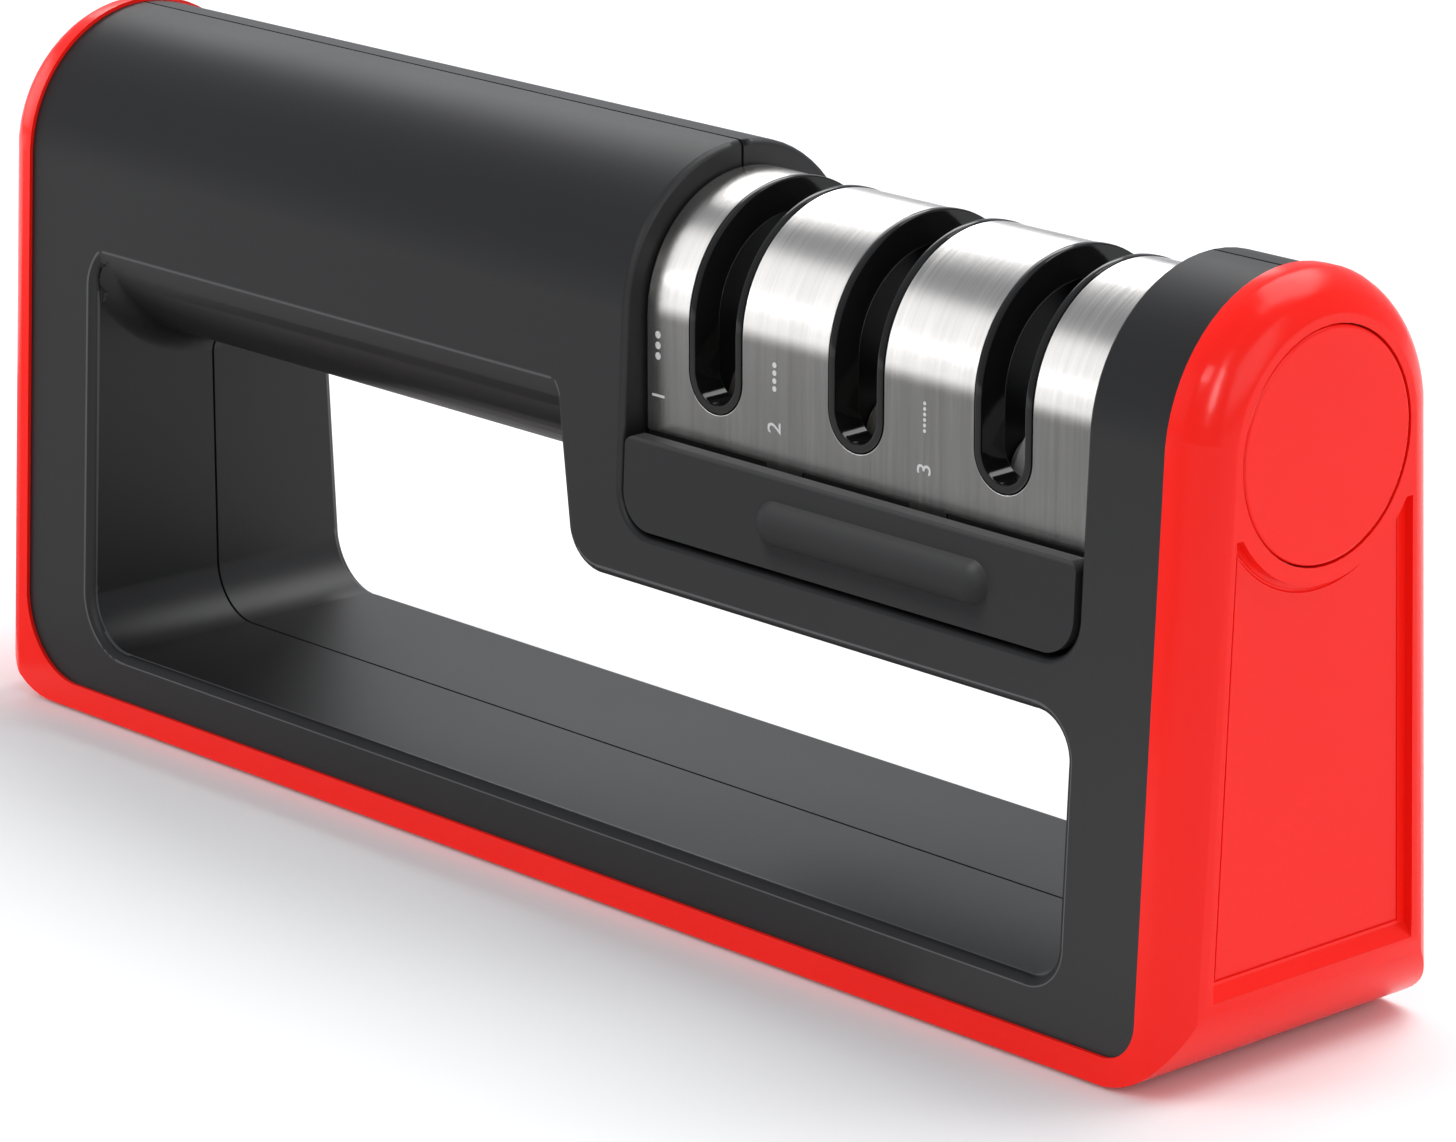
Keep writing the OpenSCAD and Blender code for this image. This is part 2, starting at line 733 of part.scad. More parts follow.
module base_frame() {
    top = body_top + arch_r;
    color("#fd3a30") difference() {
        intersection() {
            along_x(-end_x, end_x) section(frame_proud);
            along_y() rounded([
                [-end_x, frame_lift, frame_corner], [end_x, frame_lift, frame_corner],
                [end_x, top, 0], [-end_x, top, 0]]);
        }
        along_y() rounded(body_corners());
        for (side = [0, 1])
            mirror([side, 0, 0]) {
                end_edge_cut();
                leaf_cut();
                translate([end_x - cap_t, 0, cap_z]) rotate([0, 90, 0])
                    cylinder(r = cap_r + cap_gap, h = cap_t + over);
            }
        end_screw_bores();
        base_screw_bores();
        for (x = [-foot_x, foot_x])
            for (y = [-foot_side, foot_side])
                translate([x, y, 0]) cylinder(r = foot_r + foot_gap, h = foot_h);
    }
}

// A round cap with a softened rim, flush with the end wall
module end_cap(side) {
    color("#fd3a30") mirror([side > 0 ? 0 : 1, 0, 0])
        translate([end_x - cap_t, 0, cap_z]) rotate([0, 90, 0]) rotate_extrude() {
            square([cap_r, cap_t - cap_edge]);
            square([cap_r - cap_edge, cap_t]);
            translate([cap_r - cap_edge, cap_t - cap_edge]) circle(r = cap_edge);
        }
}

module left_end_cap() {
    end_cap(-1);
}

module right_end_cap() {
    end_cap(1);
}

// A screw along Z: the head stands on z = 0 and the shank points down
module screw(length) {
    translate([0, 0, -length]) cylinder(r = screw_r, h = length);
    difference() {
        cylinder(r = head_r, h = head_h);
        for (turn = [0, 90])
            rotate(turn) translate([-head_r * cross_share, -cross_w / 2, head_h - cross_d])
                cube([2 * head_r * cross_share, cross_w, cross_d + over]);
    }
}

module end_screws() {
    color("#8c8f94") for (side = [0, 1])
        mirror([side, 0, 0])
            translate([end_x - cap_t - head_h, 0, cap_z]) rotate([0, 90, 0])
                screw(wall_t - cap_t - head_h + end_grip);
}

module shell_screws() {
    color("#8c8f94") for (s = shell_screw_at)
        translate([s[0], seat_y, s[1]]) rotate([-90, 0, 0]) screw(seat_y + shell_grip);
}

module base_screws() {
    color("#8c8f94") for (x = [-base_screw_x, base_screw_x])
        for (y = [-base_screw_half, base_screw_half])
            translate([x, y, frame_lift + head_h]) rotate([180, 0, 0])
                screw(body_low - frame_lift - head_h + base_grip);
}

// A rubber foot in its recess in the frame
module foot(side_x, side_y) {
    color("#222222") translate([side_x * foot_x, side_y * foot_side, 0]) rotate_extrude() {
        translate([0, foot_edge]) square([foot_r, foot_h - foot_edge]);
        square([foot_r - foot_edge, foot_h]);
        translate([foot_r - foot_edge, foot_edge]) circle(r = foot_edge);
    }
}

module foot_front_left() {
    foot(-1, -1);
}

module foot_front_right() {
    foot(1, -1);
}

module foot_back_left() {
    foot(-1, 1);
}

module foot_back_right() {
    foot(1, 1);
}

// Recesses in the carrier's flanks for the cover's tabs
module tabs(width, length, inner, outer) {
    for (x = web_x)
        for (side = [0, 1])
            mirror([0, side, 0])
                translate([x - width / 2, inner, ledge_z - length])
                    cube([width, outer - inner, length]);
}

module cartridge_carrier() {
    color("#242424") difference() {
        union() {
            difference() {
                along_y(2 * carrier_half) rounded([
                    [cart_left, carrier_low, carrier_corner],
                    [cart_right, carrier_low, carrier_corner],
                    [cart_right, ledge_z, 0], [cart_left, ledge_z, 0]]);
                translate([trough_left, -trough_half, carrier_floor])
                    cube([trough_right - trough_left, 2 * trough_half, ledge_h]);
            }
            along_x(cart_left, trough_left) u_area(liner_r);
            along_x(trough_right, cart_right) u_area(liner_r);
            for (x = web_x)
                along_x(x - web_t / 2, x + web_t / 2) {
                    translate([-trough_half, carrier_low])
                        square([2 * trough_half, ledge_z - carrier_low]);
                    u_area(liner_r - liner_t - liner_gap);
                }
            translate([notch_mid - keel_len / 2, -keel_w / 2, keel_low])
                cube([keel_len, keel_w, carrier_low - keel_low + floor_t / 2]);
        }
        translate([cart_left + side_gap, 0, spindle_z]) rotate([0, 90, 0])
            cylinder(r = spindle_r + seat_gap, h = cart_right - cart_left - 2 * side_gap);
        for (x = [cart_left + peg_inset, cart_right - peg_inset])
            translate([x, 0, peg_z]) rotate([90, 0, 0])
                cylinder(r = peg_r + peg_gap, h = depth, center = true);
        tabs(tab_w + 2 * liner_gap, tab_len + liner_gap, cover_r - sheet_t - liner_gap,
            carrier_half + over);
    }
}

module slot_liner() {
    color("#151515") difference() {
        union() {
            difference() {
                along_x(trough_left + liner_gap, trough_right - liner_gap) difference() {
                    u_area(liner_r);
                    u_area(liner_r - liner_t);
                }
                for (x = stage_x)
                    translate([x, 0, 0]) along_y()
                        slot_area(slot_w - 2 * collar_gap, slot_low + collar_gap);
            }
            for (x = stage_x)
                intersection() {
                    translate([x, 0, 0]) along_y()
                        slot_area(slot_w - 2 * collar_gap, slot_low + collar_gap);
                    along_x(x - slot_w, x + slot_w) difference() {
                        u_area(cover_r + collar_proud);
                        u_area(cover_r + collar_proud - collar_depth);
                    }
                }
        }
        for (x = stage_x)
            translate([x, 0, 0]) along_y()
                slot_area(slot_w - 2 * collar_gap - 2 * collar_wall,
                    slot_low + collar_gap + collar_wall);
        translate([cart_left - over, -depth / 2, 0])
            cube([cart_right - cart_left + 2 * over, depth, ledge_z]);
    }
}

module steel_cover() {
    color("#c8c8c8") {
        difference() {
            along_x(cart_left, cart_right) difference() {
                u_area(cover_r);
                u_area(cover_r - sheet_t);
            }
            for (x = stage_x)
                translate([x, 0, 0]) along_y() slot_area(slot_w, slot_low);
            translate([cart_left - over, -depth / 2, 0])
                cube([cart_right - cart_left + 2 * over, depth, ledge_z]);
        }
        tabs(tab_w, tab_len, cover_r - sheet_t, cover_r);
    }
}

// A cylinder or ring on the spindle's axis
module on_spindle(from, to, r, bore = 0) {
    translate([from, 0, spindle_z]) rotate([0, 90, 0]) difference() {
        cylinder(r = r, h = to - from);
        if (bore > 0) translate([0, 0, -over]) cylinder(r = bore, h = to - from + 2 * over);
    }
}

module spindle() {
    color("#b9bcc0") on_spindle(cart_left + side_gap, cart_right - side_gap, spindle_r);
}

module spindle_clips() {
    color("#9a9da2") for (x = [clip_left, clip_right])
        on_spindle(x, x + clip_t, clip_r, spindle_r + seat_gap);
}

module spindle_spacers() {
    reach = hub_half + axial_gap;
    beside = web_t / 2 + axial_gap;
    spans = [
        [clip_left + clip_t + axial_gap, stage_x[0] - reach],
        [stage_x[0] + reach, web_x[0] - beside],
        [web_x[0] + beside, stage_x[1] - reach],
        [stage_x[1] + reach, web_x[1] - beside],
        [web_x[1] + beside, stage_x[2] - reach],
        [stage_x[2] + reach, clip_right - axial_gap]];
    color("#d8d8d4") for (s = spans) on_spindle(s[0], s[1], spacer_r, spindle_r + seat_gap);
}

// A hub that runs on the spindle, with a flange on each side of its wheels
module hub(stage) {
    translate([stage_x[stage], 0, 0]) turned(spindle_z) difference() {
        union() {
            translate([0, -hub_half]) square([hub_r, 2 * hub_half]);
            for (side = [-1, 1])
                translate([0, side > 0 ? wheel_w + wheel_gap / 2 : -hub_half])
                    square([flange_r, hub_half - wheel_w - wheel_gap / 2]);
        }
        translate([0, -hub_half - over])
            square([spindle_r + hub_gap, 2 * hub_half + 2 * over]);
    }
}

// A cone-faced wheel on its hub: left for -1, right for 1
module wheel(stage, side) {
    inner = wheel_gap / 2;
    bore = hub_r + seat_gap;
    translate([stage_x[stage], 0, 0]) mirror([side > 0 ? 0 : 1, 0, 0])
        turned(spindle_z) polygon([
            [bore, inner], [vee_r, inner], [wheel_r, vee_half],
            [wheel_r, inner + wheel_w], [bore, inner + wheel_w]]);
}

module coarse_hub() {
    color("#4a4a4a") hub(0);
}

module coarse_wheel_left() {
    color("#77726a") wheel(0, -1);
}

module coarse_wheel_right() {
    color("#77726a") wheel(0, 1);
}

module medium_hub() {
    color("#4a4a4a") hub(1);
}

module medium_wheel_left() {
    color("#8f8a80") wheel(1, -1);
}

module medium_wheel_right() {
    color("#8f8a80") wheel(1, 1);
}

module fine_hub() {
    color("#4a4a4a") hub(2);
}

module fine_wheel_left() {
    color("#e8e6df") wheel(2, -1);
}

module fine_wheel_right() {
    color("#e8e6df") wheel(2, 1);
}

// A grip plate that closes the notch below the ledge, with its ridge and guide pegs
module grip() {
    ridge_y = side_half(ridge_z) + ridge_proud - ridge_r;
    ridge_left = cart_left + ridge_from + ridge_w / 2;
    ridge_right = ridge_left + ridge_len - ridge_w;
    top = up_slope(ledge_z);
    difference() {
        intersection() {
            along_x(grip_left, grip_right) difference() {
                section();
                section(-grip_t);
            }
            along_y() rounded([
                [grip_left, grip_low, grip_corner], [grip_right, grip_low, grip_corner],
                [grip_right, ledge_z, grip_top_corner], [grip_left, ledge_z, grip_top_corner]]);
            side_of(-1);
        }
        on_sides(grip_edge)
            edge_cut([grip_left, top], [grip_right, top], grip_edge, over, over);
    }
    intersection() {
        translate([0, -ridge_y, 0]) turned(ridge_z, 90) intersection() {
            translate([0, ridge_left - ridge_r])
                square([ridge_r, ridge_right - ridge_left + 2 * ridge_r]);
            union() {
                translate([0, ridge_left]) square([ridge_r, ridge_right - ridge_left]);
                translate([0, ridge_left]) circle(r = ridge_r);
                translate([0, ridge_right]) circle(r = ridge_r);
            }
        }
        along_x(grip_left, grip_right) difference() {
            section(ridge_proud + over);
            section(-grip_t / 2);
        }
    }
    for (x = [cart_left + peg_inset, cart_right - peg_inset])
        translate([x, -peg_face - grip_t / 2, peg_z]) rotate([-90, 0, 0])
            cylinder(r = peg_r, h = peg_len + grip_t / 2);
}

module front_grip() {
    color("#404040") grip();
}

module back_grip() {
    color("#404040") mirror([0, 1, 0]) grip();
}

front_shell();
back_shell();
base_frame();
left_end_cap();
right_end_cap();
end_screws();
shell_screws();
base_screws();
foot_front_left();
foot_front_right();
foot_back_left();
foot_back_right();
cartridge_carrier();
slot_liner();
steel_cover();
spindle();
spindle_clips();
spindle_spacers();
coarse_hub();
coarse_wheel_left();
coarse_wheel_right();
medium_hub();
medium_wheel_left();
medium_wheel_right();
fine_hub();
fine_wheel_left();
fine_wheel_right();
front_grip();
back_grip();
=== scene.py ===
# A knife sharpener with a bridge handle, a drop-in wheel cartridge under a bent steel cover and
# a red base frame, dressed for a studio picture on a pale floor.
import json
import math

import bpy
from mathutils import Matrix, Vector


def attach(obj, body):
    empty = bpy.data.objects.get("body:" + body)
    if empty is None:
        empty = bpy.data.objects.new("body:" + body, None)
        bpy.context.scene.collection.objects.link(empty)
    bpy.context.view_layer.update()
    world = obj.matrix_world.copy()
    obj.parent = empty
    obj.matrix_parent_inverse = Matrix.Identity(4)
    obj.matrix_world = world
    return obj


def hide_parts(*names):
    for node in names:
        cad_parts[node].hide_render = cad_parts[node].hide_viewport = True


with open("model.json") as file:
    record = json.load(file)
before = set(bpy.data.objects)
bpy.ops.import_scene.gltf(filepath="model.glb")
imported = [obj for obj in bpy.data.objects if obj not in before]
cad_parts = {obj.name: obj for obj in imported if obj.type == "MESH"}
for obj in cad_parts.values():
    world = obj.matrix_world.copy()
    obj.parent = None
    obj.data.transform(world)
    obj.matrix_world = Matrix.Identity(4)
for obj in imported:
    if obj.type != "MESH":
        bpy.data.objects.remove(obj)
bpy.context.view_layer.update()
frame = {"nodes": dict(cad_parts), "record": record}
NODES = frame["nodes"]
RECORD = frame["record"]
MM = 0.001

# Camera: place, direction and lens found from the photograph's straight edges and round cap
AZIMUTH = math.radians(47.30)
ELEVATION = math.radians(16.30)
TARGET = Vector((9.70, 0.0, 30.61)) * MM
DISTANCE = 623.88 * MM
FOCAL_PX = 6232.12
PHOTO_WIDTH = 1456
SENSOR = 36.0
# Farthest distance that it shows, in metres
FARTHEST = 20.0

# Floor and air of the studio, in metres
FLOOR_SIZE = 8.0
AIR_COLOUR = (0.93, 0.95, 1.0, 1.0)
AIR_STRENGTH = 0.55

# Dark card left of the picture, and the glows that lie on the floor, in metres
FLAG_PLACE = (-0.105, -0.205)
FLAG_SIZE = (0.28, 0.50)
FLAG_HEIGHT = 0.0005
GLOW_PLACE = (0.135, -0.115)
GLOW_SIZE = (0.22, 0.25)
GLOW_HEIGHT = 0.002

# Merging, softening and smoothing of the copied solids, and merging of the marks
MERGE = 0.004 * MM
MARK_MERGE = 0.0005 * MM
FLAT_ANGLE = math.radians(0.4)
SOFT_ANGLE = math.radians(30.0)
CREASE_ANGLE = math.radians(15.0)
BEVEL_SEGMENTS = 2
NORMAL_WEIGHT = 60

# Softening of each piece's edges, in mm, and 0 where the solid's own roundings stay as they are
SOFTENED = {
    "front_shell": 0.0, "back_shell": 0.0, "base_frame": 0.22,
    "left_end_cap": 0.12, "right_end_cap": 0.12,
    "front_grip": 0.22, "back_grip": 0.22,
    "steel_cover": 0.08, "slot_liner": 0.22, "cartridge_carrier": 0.15,
    "end_screws": 0.06, "shell_screws": 0.06, "base_screws": 0.06,
    "foot_front_left": 0.0, "foot_front_right": 0.0, "foot_back_left": 0.0, "foot_back_right": 0.0,
    "spindle": 0.15, "spindle_clips": 0.08, "spindle_spacers": 0.12,
    "coarse_hub": 0.1, "medium_hub": 0.1, "fine_hub": 0.1,
    "coarse_wheel_left": 0.08, "coarse_wheel_right": 0.08,
    "medium_wheel_left": 0.08, "medium_wheel_right": 0.08,
    "fine_wheel_left": 0.08, "fine_wheel_right": 0.08,
}

# Boxes are pairs of opposite corners, in mm.
# Where the window's lip, the left post and the handle's fillet meet
CALM = [((-73.6, y, 46.4), (-71.4, y + 2.3, 51.6)) for y in (-16.3, 14.0)]
# The shallow fold where the handle's round underside meets the side
HANDLE_FOLDS = {
    "front_shell": [((-71.0, -17.0, 51.3), (1.0, -14.0, 52.3))],
    "back_shell": [((-71.0, 14.0, 51.3), (1.0, 17.0, 52.3))],
}
# The window's rims and seam get painted highlight lines, a lighter black on their facets
# The window seen from the side, as corners in X and Z: the hand hole and the low part beside it
WINDOW = (((-75.5, 7.0), (2.5, 52.6)), ((2.5, 7.0), (75.5, 35.5)))
# How far its rims lie from the middle plane, and its seam at most, in mm
RIM_NEAR = 12.5
RIM_FAR = 19.5
SEAM_HALF = 0.16
# Turns of a rim's first and last facets from the side, the height in mm that each line reaches,
# and the least distance in mm from the middle plane
RIM_LINES = ((math.radians(5.0), math.radians(19.0), 52.6, 15.0),
             (math.radians(70.0), math.radians(86.0), 44.0, 14.2))

# Fold between the side and the handle's underside, in mm, and the lighter grey painted along it as a
# painted highlight
FOLD_Z = 51.75
FOLD_HALF = 0.22
FOLD_X = (-71.6, 1.2)
FOLD_HIGHLIGHT_GREY = (0.075, 0.075, 0.077)

# Leaf-shaped panel of each end, from the frame's own sizes, and its fine groove, in mm
PANEL = {"x": 89.2, "depth": 0.95, "low": 10.7, "low_half": 13.55, "top_half": 11.8,
         "arch_z": 59.4, "arch_r": 12.9, "side_inset": 1.1, "top_inset": 0.62, "foot_inset": 0.45,
         "groove_r": 0.2}
ARCH_STEPS = 24
TUBE_RESOLUTION = 3

# Steel cover, from the cartridge's own sizes, in mm
COVER_R = 13.0
COVER_AXIS_Z = 59.5

# Marks on the cover: half their thickness, their sizes, and their rows up from the bend, in mm
MARK_HALF = 0.02
DIGIT_SIZE = 2.6
DIGIT_ROW = -8.3
DOT = "\N{BULLET}"
DOT_ROW = -4.2
# Each stage's digit, its place along the cover, and the number and size of its dots
STAGE_MARKS = (
    ("coarse", "1", 13.9, 3, 3.0),
    ("medium", "2", 30.4, 4, 2.2),
    ("fine", "3", 50.8, 6, 1.5),
)

# Sockets of a Mix node that mixes colours
MIX_LOW = 6
MIX_HIGH = 7
MIX_RESULT = 2


# Tools

def deselect():
    """Leaves nothing selected."""
    if bpy.context.object and bpy.context.object.mode != "OBJECT":
        bpy.ops.object.mode_set(mode="OBJECT")
    bpy.ops.object.select_all(action="DESELECT")


def take(piece):
    """Makes one piece the only selected and active one."""
    deselect()
    piece.select_set(True)
    bpy.context.view_layer.objects.active = piece


def apply_modifier(piece, kind, **settings):
    """Adds a modifier to a piece and applies it."""
    take(piece)
    modifier = piece.modifiers.new(kind.lower(), kind)
    for key, value in settings.items():
        setattr(modifier, key, value)
    bpy.ops.object.modifier_apply(modifier=modifier.name)


def settle(piece):
    """Puts a piece's place, turn and scale into its mesh."""
    take(piece)
    bpy.ops.object.transform_apply(location=True, rotation=True, scale=True)


class Wire:
    """A socket of a node tree that takes part in sums and comparisons."""

    def __init__(self, finish, socket):
        self.finish = finish
        self.socket = socket

    def _math(self, operation, *values, clamp=False):
        node = self.finish.node("ShaderNodeMath", {"operation": operation, "use_clamp": clamp},
                                dict(enumerate(values)))
        return node["Value"]

    def __add__(self, other):
        return self._math("ADD", self, other)

    def __radd__(self, other):
        return self._math("ADD", other, self)

    def __sub__(self, other):
        return self._math("SUBTRACT", self, other)

    def __rsub__(self, other):
        return self._math("SUBTRACT", other, self)

    def __mul__(self, other):
        return self._math("MULTIPLY", self, other)

    def __rmul__(self, other):
        return self._math("MULTIPLY", other, self)

    def __gt__(self, other):
        return self._math("GREATER_THAN", self, other)

    def __lt__(self, other):
        return self._math("LESS_THAN", self, other)

    def __abs__(self):
        return self._math("ABSOLUTE", self)

    def clamped(self):
        """The same value, held between 0 and 1."""
        return self._math("ADD", self, 0.0, clamp=True)


class Node:
    """A node whose outputs are wires."""

    def __init__(self, finish, node):
        self.finish = finish
        self.node = node

    def __getitem__(self, output):
        return Wire(self.finish, self.node.outputs[output])


class Finish:
    """One material and the tools that build its nodes."""

    def __init__(self, name, **surface):
        self.material = bpy.data.materials.new(name)
        self.material.use_nodes = True
        self.tree = self.material.node_tree
        self.tree.nodes.clear()
        self.surface = self.node("ShaderNodeBsdfPrincipled", {}, surface)
        self.node("ShaderNodeOutputMaterial", {}, {"Surface": self.surface["BSDF"]})
        self.place = self.node("ShaderNodeTexCoord")["Object"]

    def node(self, kind, settings=None, sockets=None):
        """Adds a node: its settings first, then the values or wires of its sockets."""
        node = self.tree.nodes.new(kind)
        for key, value in (settings or {}).items():
            setattr(node, key, value)
        self.put(node, sockets or {})
        return Node(self, node)

    def put(self, node, sockets):
        """Sets a node's sockets to values or links them to wires."""
        for key, value in sockets.items():
            socket = node.inputs[key]
            if isinstance(value, Wire):
                self.tree.links.new(value.socket, socket)
            else:
                socket.default_value = value

    def on(self, **sockets):
        """Sets or links the surface's own sockets, with _ for a space in their names."""
        self.put(self.surface.node, {key.replace("_", " "): value for key, value in sockets.items()})
        return self

    def feeding(self, socket):
        """The wire that feeds one of the surface's own sockets."""
        return Wire(self, self.surface.node.inputs[socket].links[0].from_socket)

    def stretched(self, scale):
        """Object coordinates in metres, scaled along each axis."""
        return self.node("ShaderNodeVectorMath", {"operation": "MULTIPLY"},
                         {0: self.place, 1: scale})["Vector"]

    def noise(self, size_mm, detail=3.0, rough=0.5, stretch=(1.0, 1.0, 1.0)):
        """Noise with grains of a size in millimetres, longer where stretch is above 1."""
        scale = tuple(1.0 / (size_mm * MM * s) for s in stretch)
        return self.node("ShaderNodeTexNoise", {"noise_dimensions": "3D"},
                         {"Vector": self.stretched(scale), "Scale": 1.0, "Detail": detail,
                          "Roughness": rough})["Fac"]

    def mixed(self, mask, low, high):
        """Mixes two colours by a mask; each is a wire or three values."""
        low, high = (end if isinstance(end, Wire) else (*end, 1.0) for end in (low, high))
        return self.node("ShaderNodeMix", {"data_type": "RGBA"},
                         {"Factor": mask, MIX_LOW: low, MIX_HIGH: high})[MIX_RESULT]

    def bumped(self, height, depth_mm):
        """A normal from a height in 0 to 1 that is worth a depth in millimetres."""
        return self.node("ShaderNodeBump", {},
                         {"Height": height, "Distance": depth_mm * MM})["Normal"]


# Finishes

def moulded_black(name, low, high, rough, grain_mm=0.22, depth_mm=0.010, gloss=0.42):
    """Satin moulded plastic with a fine spark-eroded grain and faint cloudiness."""
    finish = Finish(name, **{"IOR": 1.48, "Specular IOR Level": gloss})
    cloud = finish.noise(26.0, detail=2.0)
    grain = finish.noise(grain_mm, detail=2.0, rough=0.6)
    return finish.on(Base_Color=finish.mixed(cloud, low, high),
                     Roughness=rough - 0.03 + cloud * 0.06 + grain * 0.03,
                     Normal=finish.bumped(grain, depth_mm))


def black_with_painted_fold_highlight(name, low, high, rough):
    """The body's black, with a painted highlight: a lighter grey line along the fold between side
    and handle underside.
    """
    finish = moulded_black(name, low, high, rough)
    plain = finish.feeding("Base Color")
    place = finish.node("ShaderNodeSeparateXYZ", {}, {"Vector": finish.place})
    # Painted highlight: a lighter grey line along the fold, between two places along X
    line = (1 - abs(place["Z"] - FOLD_Z * MM) * (1 / (FOLD_HALF * MM))).clamped()
    mask = line * (place["X"] > FOLD_X[0] * MM) * (place["X"] < FOLD_X[1] * MM)
    return finish.on(Base_Color=finish.mixed(mask, plain, FOLD_HIGHLIGHT_GREY))


def gloss_red(name):
    """Smooth bright red moulded plastic, with a very slight orange peel."""
    finish = Finish(name, **{"IOR": 1.47, "Specular IOR Level": 0.24})
    cloud = finish.noise(30.0, detail=2.0)
    peel = finish.noise(1.6, detail=1.0)
    fine = finish.noise(0.25, detail=2.0)
    return finish.on(Base_Color=finish.mixed(cloud, (0.86, 0.009, 0.004), (0.91, 0.012, 0.006)),
                     Roughness=0.19 + cloud * 0.05 + fine * 0.02,
                     Normal=finish.bumped(peel * 0.8 + fine * 0.2, 0.006))


def brushed_steel(name):
    """Stainless sheet brushed round its bend: the lines run across the length."""
    finish = Finish(name, **{"Metallic": 1.0})
    fine = finish.noise(0.07, detail=2.0, rough=0.7, stretch=(1.0, 160.0, 160.0))
    broad = finish.noise(0.6, detail=3.0, stretch=(1.0, 60.0, 60.0))
    smear = finish.noise(14.0, detail=2.0)
    lines = fine * 0.6 + broad * 0.4
    return finish.on(Base_Color=finish.mixed(lines, (0.25, 0.24, 0.23), (0.60, 0.59, 0.575)),
                     Roughness=0.15 + lines * 0.12 + smear * 0.04,
                     Normal=finish.bumped(lines, 0.008))


def gloss_black(name):
    """Polished black plastic of the slot collars."""
    finish = Finish(name, **{"IOR": 1.5, "Specular IOR Level": 0.30})
    cloud = finish.noise(8.0, detail=2.0)
    fine = finish.noise(0.4, detail=1.0)
    return finish.on(Base_Color=finish.mixed(cloud, (0.004, 0.004, 0.004), (0.009, 0.009, 0.009)),
                     Roughness=0.07 + cloud * 0.05,
                     Normal=finish.bumped(fine, 0.002))


def rubber(name):
    """Dull black rubber with a dusty bloom."""
    finish = Finish(name, **{"IOR": 1.45})
    cloud = finish.noise(2.2, detail=3.0)
    grain = finish.noise(0.18, detail=2.0)
    return finish.on(Base_Color=finish.mixed(cloud, (0.012, 0.012, 0.012), (0.028, 0.028, 0.027)),
                     Roughness=0.72 + cloud * 0.12,
                     Normal=finish.bumped(grain, 0.012))


def turned_metal(name, low, high, rough):
    """Plated or ground steel with fine turning marks."""
    finish = Finish(name, **{"Metallic": 1.0})
    lines = finish.noise(0.09, detail=2.0, stretch=(1.0, 30.0, 30.0))
    cloud = finish.noise(1.5, detail=2.0)
    return finish.on(Base_Color=finish.mixed(cloud, low, high),
                     Roughness=rough + lines * 0.14,
                     Normal=finish.bumped(lines, 0.003))


def natural_plastic(name):
    """Milky spacer plastic."""
    finish = Finish(name, **{"IOR": 1.46, "Subsurface Weight": 0.15, "Subsurface Scale": 0.0008})
    cloud = finish.noise(3.0, detail=2.0)
    return finish.on(Base_Color=finish.mixed(cloud, (0.62, 0.61, 0.57), (0.72, 0.71, 0.68)),
                     Roughness=0.42 + cloud * 0.1,
                     Normal=finish.bumped(cloud, 0.01))


def grit(name, low, high, grain_mm, depth_mm, metallic):
    """Abrasive grains bonded on a wheel."""
    finish = Finish(name)
    cells = finish.node("ShaderNodeTexVoronoi", {"voronoi_dimensions": "3D", "feature": "F1"},
                        {"Vector": finish.stretched((1.0 / (grain_mm * MM),) * 3), "Scale": 1.0})
    height = 1 - cells["Distance"]
    speckle = finish.noise(grain_mm * 1.7, detail=3.0, rough=0.7)
    return finish.on(Base_Color=finish.mixed(speckle, low, high),
                     Metallic=(speckle * metallic).clamped(),
                     Roughness=0.38 + height * 0.25,
                     Normal=finish.bumped(height, depth_mm))


def etched_grey(name):
    """Pale grey of the marks on the steel, hardly metallic and slightly worn."""
    finish = Finish(name, **{"IOR": 1.45})
    wear = finish.noise(0.35, detail=3.0, rough=0.7)
    return finish.on(Base_Color=finish.mixed(wear, (0.50, 0.50, 0.49), (0.62, 0.62, 0.61)),
                     Roughness=0.45 + wear * 0.1,
                     Metallic=0.1 + wear * 0.1)


def pale_floor(name):
    """A pale studio floor."""
    finish = Finish(name, **{"IOR": 1.3})
    cloud = finish.noise(400.0, detail=1.0)
    return finish.on(Base_Color=finish.mixed(cloud, (0.90, 0.90, 0.90), (0.92, 0.92, 0.92)),
                     Roughness=0.75 + cloud * 0.05)


def dark_card(name):
    """Dull grey card."""
    finish = Finish(name)
    cloud = finish.noise(60.0)
    return finish.on(Base_Color=finish.mixed(cloud, (0.26, 0.26, 0.26), (0.30, 0.30, 0.30)),
                     Roughness=0.9 + cloud * 0.1)


